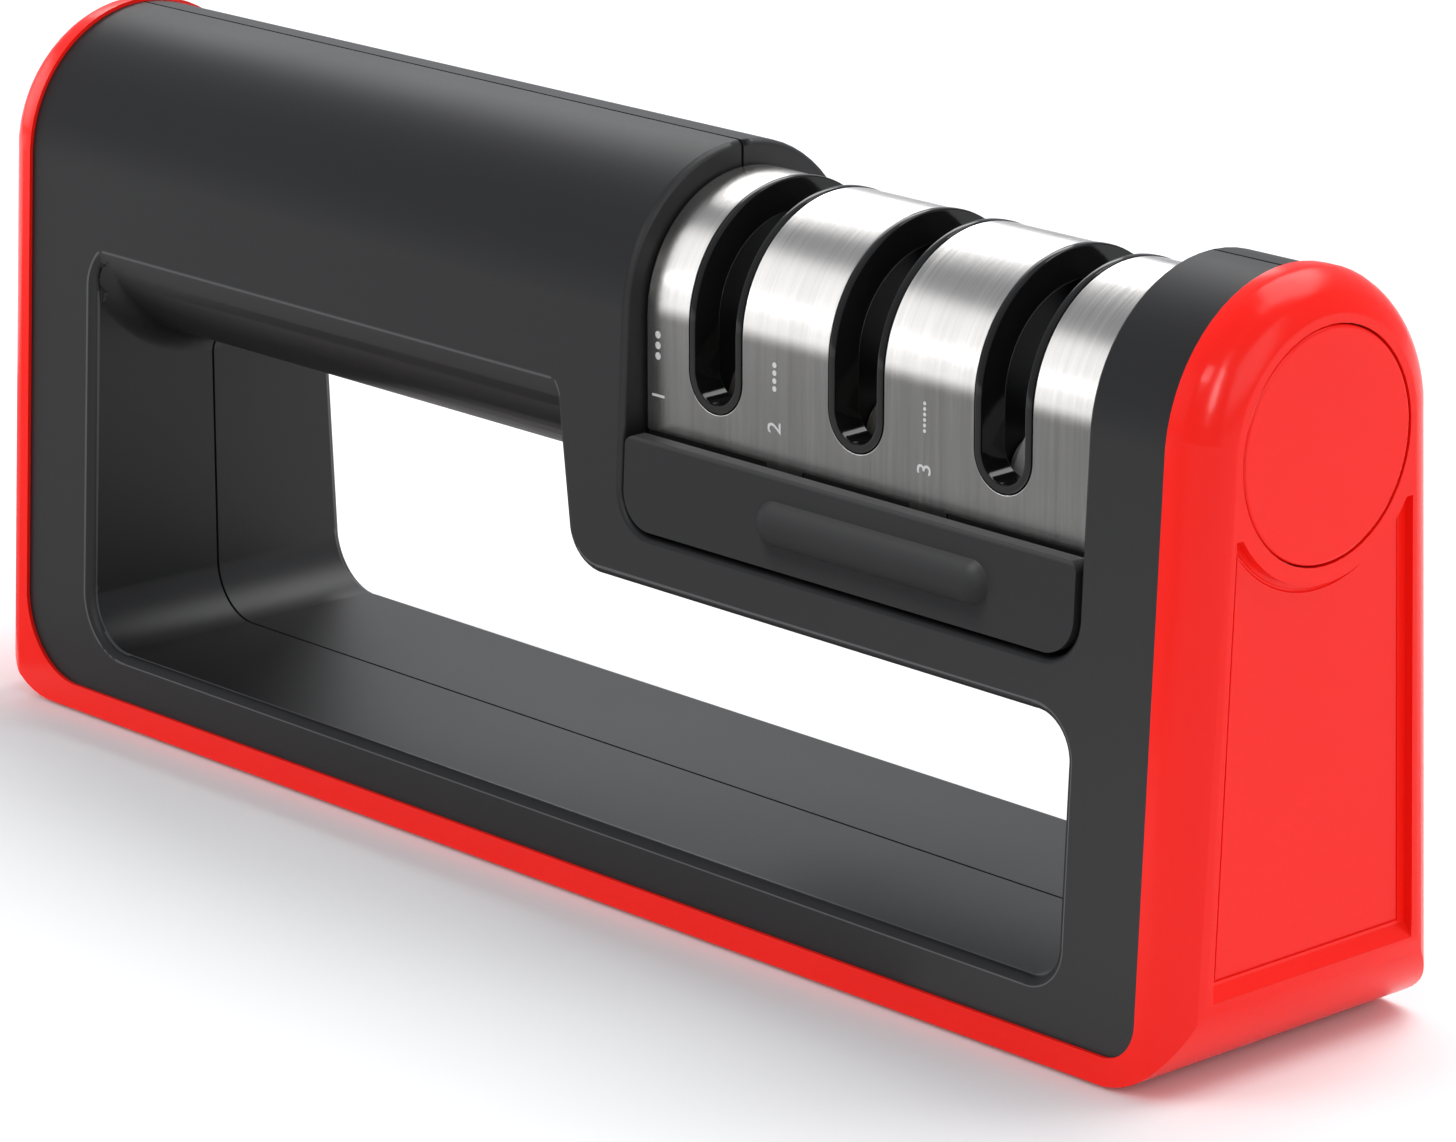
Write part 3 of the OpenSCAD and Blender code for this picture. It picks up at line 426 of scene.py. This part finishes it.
FINISHES = {
    # The body's black carries a painted highlight line along the handle's fold
    "black_body": black_with_painted_fold_highlight("satin_black_body", (0.0072, 0.0072, 0.0077),
                               (0.0098, 0.0098, 0.0104), rough=0.44),
    "red_frame": gloss_red("bright_red_frame"),
    "screw_steel": turned_metal("zinc_plated_screws", (0.30, 0.31, 0.33),
                                (0.45, 0.46, 0.48), rough=0.28),
    "foot_rubber": rubber("black_foot_rubber"),
    "black_inner": moulded_black("black_cartridge_plastic", (0.006, 0.006, 0.006),
                                 (0.012, 0.012, 0.012), rough=0.38, grain_mm=0.3,
                                 depth_mm=0.008),
    "gloss_liner": gloss_black("polished_black_collars"),
    "brushed_cover": brushed_steel("brushed_stainless_cover"),
    "spindle_steel": turned_metal("ground_spindle_steel", (0.50, 0.50, 0.50),
                                  (0.66, 0.66, 0.66), rough=0.15),
    "spacer_plastic": natural_plastic("milky_spacer_plastic"),
    "hub_plastic": moulded_black("grey_hub_plastic", (0.030, 0.030, 0.030),
                                 (0.050, 0.050, 0.050), rough=0.45),
    "coarse_grit": grit("coarse_diamond_grit", (0.08, 0.07, 0.06), (0.34, 0.31, 0.27),
                        grain_mm=0.22, depth_mm=0.05, metallic=0.9),
    "medium_grit": grit("medium_diamond_grit", (0.13, 0.12, 0.10), (0.42, 0.39, 0.34),
                        grain_mm=0.13, depth_mm=0.03, metallic=0.9),
    "fine_stone": grit("white_ceramic_stone", (0.66, 0.65, 0.61), (0.84, 0.83, 0.80),
                       grain_mm=0.08, depth_mm=0.012, metallic=0.0),
}
MARKS = etched_grey("grey_etched_marks")
# Lighter black of the painted highlight lines on the window's rim facets and seam
PAINTED_WINDOW_HIGHLIGHT = moulded_black("painted_highlight_window_black", (0.060, 0.060, 0.061), (0.080, 0.080, 0.082),
                       rough=0.36)
GRIPS = moulded_black("satin_black_grips", (0.0240, 0.0240, 0.0244), (0.0280, 0.0280, 0.0285),
                      rough=0.50, gloss=0.15)


# Pieces made from the solids

def slot_of(node):
    """The record's material slot of a node."""
    return next(s["material_slot"] for s in RECORD["subparts"] if s["node"] == node)


def body_of(node):
    """The body that a node rides on."""
    return next(b for b, members in RECORD["behaviour"]["bodies"].items() if node in members)


def inside(point, boxes):
    """Whether a point in metres lies in one of some boxes in millimetres."""
    return any(all(low[i] * MM <= point[i] <= high[i] * MM for i in range(3)) for low, high in boxes)


def window_boxes(near, far):
    """Boxes over the window's two parts, between two places along Y, in mm."""
    return [((left, near, low), (right, far, high)) for (left, low), (right, high) in WINDOW]


def edges_and_turns(mesh):
    """Each edge of a mesh with its middle and the turn between its two faces, or 0 without two."""
    normals = {}
    for face in mesh.polygons:
        for key in face.edge_keys:
            normals.setdefault(key, []).append(face.normal.copy())
    for edge in mesh.edges:
        ends = [mesh.vertices[i].co for i in edge.vertices]
        sides = normals.get(edge.key, [])
        turn = sides[0].angle(sides[1], 0.0) if len(sides) == 2 else 0.0
        yield edge, (ends[0] + ends[1]) / 2, turn


def weigh_edges(piece):
    """Gives the corners of a piece a bevel weight, but for those of the calmed joint."""
    weights = piece.data.attributes.new("bevel_weight_edge", "FLOAT", "EDGE")
    for edge, middle, turn in edges_and_turns(piece.data):
        if turn > SOFT_ANGLE and not inside(middle, CALM):
            weights.data[edge.index].value = 1.0


def calmed(piece, creases):
    """Smooth shading over the small joint of lip, post and handle, and a crisp shallow fold."""
    sharp = piece.data.attributes.get("sharp_edge")
    if not sharp:
        return
    for edge, middle, turn in edges_and_turns(piece.data):
        if inside(middle, CALM):
            sharp.data[edge.index].value = False
        elif turn > CREASE_ANGLE and inside(middle, creases):
            sharp.data[edge.index].value = True


def paint_window_highlights(piece):
    """Paints highlight lines: gives the first and last facets of the window's rims, and its seam, a
    lighter black as a painted highlight, which on the seam also paints over the groove's shade.
    """
    rims = window_boxes(RIM_NEAR, RIM_FAR) + window_boxes(-RIM_FAR, -RIM_NEAR)
    seam = window_boxes(-SEAM_HALF, SEAM_HALF)
    piece.data.materials.append(PAINTED_WINDOW_HIGHLIGHT.material)
    for face in piece.data.polygons:
        turn = math.acos(min(1.0, abs(face.normal.y)))
        rim = inside(face.center, rims) and any(
            low < turn < high and face.center.z < top * MM and abs(face.center.y) > out * MM
            for low, high, top, out in RIM_LINES)
        if rim or all(inside(piece.data.vertices[i].co, seam) for i in face.vertices):
            face.material_index = 1


def tube(name, points, radius):
    """A closed round tube along some points, in mm."""
    line = bpy.data.curves.new(name, "CURVE")
    line.dimensions = "3D"
    line.bevel_depth = radius * MM
    line.bevel_resolution = TUBE_RESOLUTION
    spline = line.splines.new("POLY")
    spline.points.add(len(points) - 1)
    for spot, point in zip(spline.points, points):
        spot.co = (*(c * MM for c in point), 1.0)
    spline.use_cyclic_u = True
    piece = bpy.data.objects.new(name, line)
    bpy.context.scene.collection.objects.link(piece)
    take(piece)
    bpy.ops.object.convert(target="MESH")
    return bpy.context.object


def panel_groove(piece, side):
    """Cuts the fine groove round the floor of an end's leaf-shaped panel."""
    x = side * (PANEL["x"] - PANEL["depth"])
    reach = PANEL["arch_r"] + PANEL["top_inset"]
    low = PANEL["low"] + PANEL["foot_inset"]
    low_half = PANEL["low_half"] - PANEL["side_inset"]
    top_half = PANEL["top_half"] - PANEL["side_inset"]
    start = math.asin(top_half / reach)
    arch = [(x, reach * math.sin(a), PANEL["arch_z"] - reach * math.cos(a))
            for a in (start - 2 * start * i / ARCH_STEPS for i in range(ARCH_STEPS + 1))]
    cutter = tube("panel_groove_cutter", [(x, -low_half, low), (x, low_half, low)] + arch,
                  PANEL["groove_r"])
    apply_modifier(piece, "BOOLEAN", object=cutter, operation="DIFFERENCE", solver="EXACT")
    bpy.data.objects.remove(cutter, do_unlink=True)


def dressed(node, soft_mm):
    """A merged copy of a solid, its edges softened by a width in mm, in the solid's place."""
    piece = bpy.data.objects.new(node + "_shaped", NODES[node].data.copy())
    bpy.context.scene.collection.objects.link(piece)
    piece.data.materials.clear()
    finish = GRIPS if node.endswith("_grip") else FINISHES[slot_of(node)]
    piece.data.materials.append(finish.material)
    take(piece)
    bpy.ops.object.mode_set(mode="EDIT")
    bpy.ops.mesh.select_all(action="SELECT")
    bpy.ops.mesh.remove_doubles(threshold=MERGE)
    bpy.ops.mesh.dissolve_limited(angle_limit=FLAT_ANGLE)
    bpy.ops.object.mode_set(mode="OBJECT")
    if node == "base_frame":
        for side in (-1, 1):
            panel_groove(piece, side)
    if soft_mm:
        weigh_edges(piece)
        apply_modifier(piece, "BEVEL", width=soft_mm * MM, segments=BEVEL_SEGMENTS,
                       limit_method="WEIGHT", use_clamp_overlap=True, miter_outer="MITER_ARC")
    take(piece)
    bpy.ops.object.shade_smooth_by_angle(angle=SOFT_ANGLE)
    calmed(piece, HANDLE_FOLDS.get(node, ()))
    apply_modifier(piece, "WEIGHTED_NORMAL", weight=NORMAL_WEIGHT, keep_sharp=True)
    # Painted highlight lines on the shells' window rims and seam
    if node.endswith("_shell"):
        paint_window_highlights(piece)
    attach(piece, body_of(node))
    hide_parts(node)
    slot_of(node)
    return piece


# Marks on the steel cover

def on_cover(x, along, proud):
    """A point on or near the cover's front, in metres, from three lengths in mm.

    They are its place along the cover, how far up the sheet it is from the start of the bend,
    and how far it stands out of the sheet."""
    reach = COVER_R + proud
    if along <= 0:
        return Vector((x, -reach, COVER_AXIS_Z + along)) * MM
    turn = along / COVER_R
    return Vector((x, -reach * math.cos(turn), COVER_AXIS_Z + reach * math.sin(turn))) * MM


def mark(name, words, size, x, along):
    """Letters that run up the steel cover, as thin plates on its face."""
    deselect()
    bpy.ops.object.text_add(location=(0, 0, 0))
    letters = bpy.context.object.data
    letters.body = words
    letters.size = size
    letters.extrude = MARK_HALF
    letters.align_x = "LEFT"
    letters.align_y = "CENTER"
    bpy.ops.object.convert(target="MESH")
    piece = bpy.context.object
    piece.name = name
    for vertex in piece.data.vertices:
        across, up, out = vertex.co
        vertex.co = on_cover(x - up, along + across, out)
    take(piece)
    bpy.ops.object.mode_set(mode="EDIT")
    bpy.ops.mesh.select_all(action="SELECT")
    bpy.ops.mesh.remove_doubles(threshold=MARK_MERGE)
    bpy.ops.mesh.normals_make_consistent(inside=False)
    bpy.ops.object.mode_set(mode="OBJECT")
    piece.data.materials.clear()
    piece.data.materials.append(MARKS.material)
    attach(piece, "cartridge")
    return piece


# Floor, light and camera

def floor():
    """A wide floor at table height."""
    deselect()
    bpy.ops.mesh.primitive_plane_add(size=FLOOR_SIZE, location=(0.0, 0.0, 0.0))
    piece = bpy.context.object
    piece.name = "floor"
    piece.data.materials.append(pale_floor("pale_floor").material)


def flag():
    """A dark card beside the object, outside the picture, that only reflections show."""
    deselect()
    bpy.ops.mesh.primitive_plane_add(size=1.0, location=(*FLAG_PLACE, FLAG_HEIGHT),
                                     rotation=(0.0, 0.0, AZIMUTH))
    piece = bpy.context.object
    piece.name = "dark_flag"
    piece.scale = (*FLAG_SIZE, 1.0)
    settle(piece)
    piece.data.materials.append(dark_card("dark_card").material)
    for kind in ("camera", "diffuse", "shadow", "transmission"):
        setattr(piece, "visible_" + kind, False)


def camera():
    """The camera at the photograph's place."""
    data = bpy.data.cameras.new("studio_camera")
    data.sensor_fit = "HORIZONTAL"
    data.sensor_width = SENSOR
    data.lens = FOCAL_PX / PHOTO_WIDTH * SENSOR
    data.clip_end = FARTHEST
    eye = bpy.data.objects.new("studio_camera", data)
    bpy.context.scene.collection.objects.link(eye)
    back = Vector((math.sin(AZIMUTH) * math.cos(ELEVATION), -math.cos(AZIMUTH) * math.cos(ELEVATION),
                   math.sin(ELEVATION)))
    eye.location = TARGET + back * DISTANCE
    eye.rotation_euler = (-back).to_track_quat("-Z", "Y").to_euler()
    bpy.context.scene.camera = eye


def air():
    """Even, slightly cool light from all round."""
    world = bpy.data.worlds.new("studio_air")
    bpy.context.scene.world = world
    world.use_nodes = True
    background = world.node_tree.nodes["Background"]
    background.inputs["Color"].default_value = AIR_COLOUR
    background.inputs["Strength"].default_value = AIR_STRENGTH


def softbox(name, place, aim, size, power, only=(), past=False, **seen):
    """A rectangular studio light, for a few pieces alone where they are named.

    With past, only those pieces cast a shadow in it. With diffuse=False it shows in reflections
    alone, and with glossy=False in none."""
    light = bpy.data.lights.new(name, "AREA")
    light.shape = "RECTANGLE"
    light.size, light.size_y = size
    light.energy = power
    lamp = bpy.data.objects.new(name, light)
    bpy.context.scene.collection.objects.link(lamp)
    lamp.location = place
    lamp.rotation_euler = (Vector(aim) - Vector(place)).to_track_quat("-Z", "Y").to_euler()
    lamp.visible_camera = False
    for key, value in seen.items():
        setattr(lamp, "visible_" + key, value)
    if only:
        receivers = bpy.data.collections.new(name + "_receivers")
        for piece in only:
            receivers.objects.link(piece)
        lamp.light_linking.receiver_collection = receivers
        if past:
            lamp.light_linking.blocker_collection = receivers
    return lamp


def floor_card(name, place, size, power, only):
    """A light on the floor, turned with the picture, that only some pieces' reflections show."""
    lamp = softbox(name, (*place, GLOW_HEIGHT), (*place, 1.0), size, power, only=only,
                   diffuse=False)
    lamp.rotation_euler = (math.pi, 0.0, AZIMUTH)


def lights(grips, reds, blacks, steel):
    """All the lights: place, aim, width and height in metres, then the power in watts."""
    all_but_grips = [o for o in bpy.data.objects if o.type == "MESH" and o not in grips]
    softbox("top_light", (0.12, 0.50, 0.95), (0.0, 0.0, 0.0), (0.9, 0.7), 8.5)
    softbox("back_left_light", (-0.62, 0.40, 0.52), (0.0, 0.0, 0.05), (0.45, 0.24), 1.05)
    softbox("right_light", (0.95, 0.05, 0.40), (0.08, 0.0, 0.04), (0.6, 0.5), 1.9)
    softbox("front_fill", (-0.45, -0.80, 0.45), (0.0, 0.0, 0.03), (0.6, 0.5), 3.9,
            only=all_but_grips, glossy=False)
    softbox("front_top_strip", (0.20, -0.63, 0.60), (0.03, 0.0, 0.06), (0.22, 0.04), 0.75,
            diffuse=False)
    softbox("camera_strip", (0.60, -0.62, 0.44), (0.06, 0.0, 0.06), (0.08, 0.30), 0.9,
            diffuse=False)
    softbox("steel_band", (-0.26, -0.21, 0.170), (0.04, -0.012, 0.06), (0.40, 0.31), 0.64,
            only=steel, past=True, diffuse=False)
    softbox("steel_line", (-0.22, -0.24, 0.135), (0.04, -0.012, 0.06), (0.40, 0.008), 0.10,
            only=steel, past=True, diffuse=False)
    softbox("steel_top", (-0.47, 0.30, 0.40), (0.04, 0.0, 0.07), (0.50, 0.38), 1.7,
            only=steel, past=True, diffuse=False)
    floor_card("card_glow", FLAG_PLACE, FLAG_SIZE, 0.22, blacks)
    floor_card("camera_side_glow", GLOW_PLACE, GLOW_SIZE, 0.07, blacks)
    softbox("grip_light", (-0.05, -0.22, 0.60), (0.04, -0.015, 0.04), (0.24, 0.18), 4.2,
            only=grips)
    softbox("red_left_light", (-0.85, -0.30, 0.30), (-0.08, 0.0, 0.04), (0.4, 0.4), 1.5,
            only=reds)
    softbox("arch_strip", (0.60, -0.52, 0.52), (0.088, 0.0, 0.06), (0.05, 0.40), 1.6,
            only=reds, diffuse=False)


shaped = {node: dressed(node, soft_mm) for node, soft_mm in SOFTENED.items()}
marks = []
for stage, digit, x, dots, dot_size in STAGE_MARKS:
    marks.append(mark(stage + "_digit", digit, DIGIT_SIZE, x, DIGIT_ROW))
    marks.append(mark(stage + "_dots", DOT * dots, dot_size, x, DOT_ROW))

floor()
camera()
air()
lights(grips=[shaped["front_grip"], shaped["back_grip"]],
       reds=[shaped["base_frame"], shaped["left_end_cap"], shaped["right_end_cap"]],
       blacks=[shaped["front_shell"], shaped["back_shell"], shaped["slot_liner"]],
       steel=[shaped["steel_cover"]] + marks)
flag()
bpy.context.scene.view_settings.view_transform = "Standard"
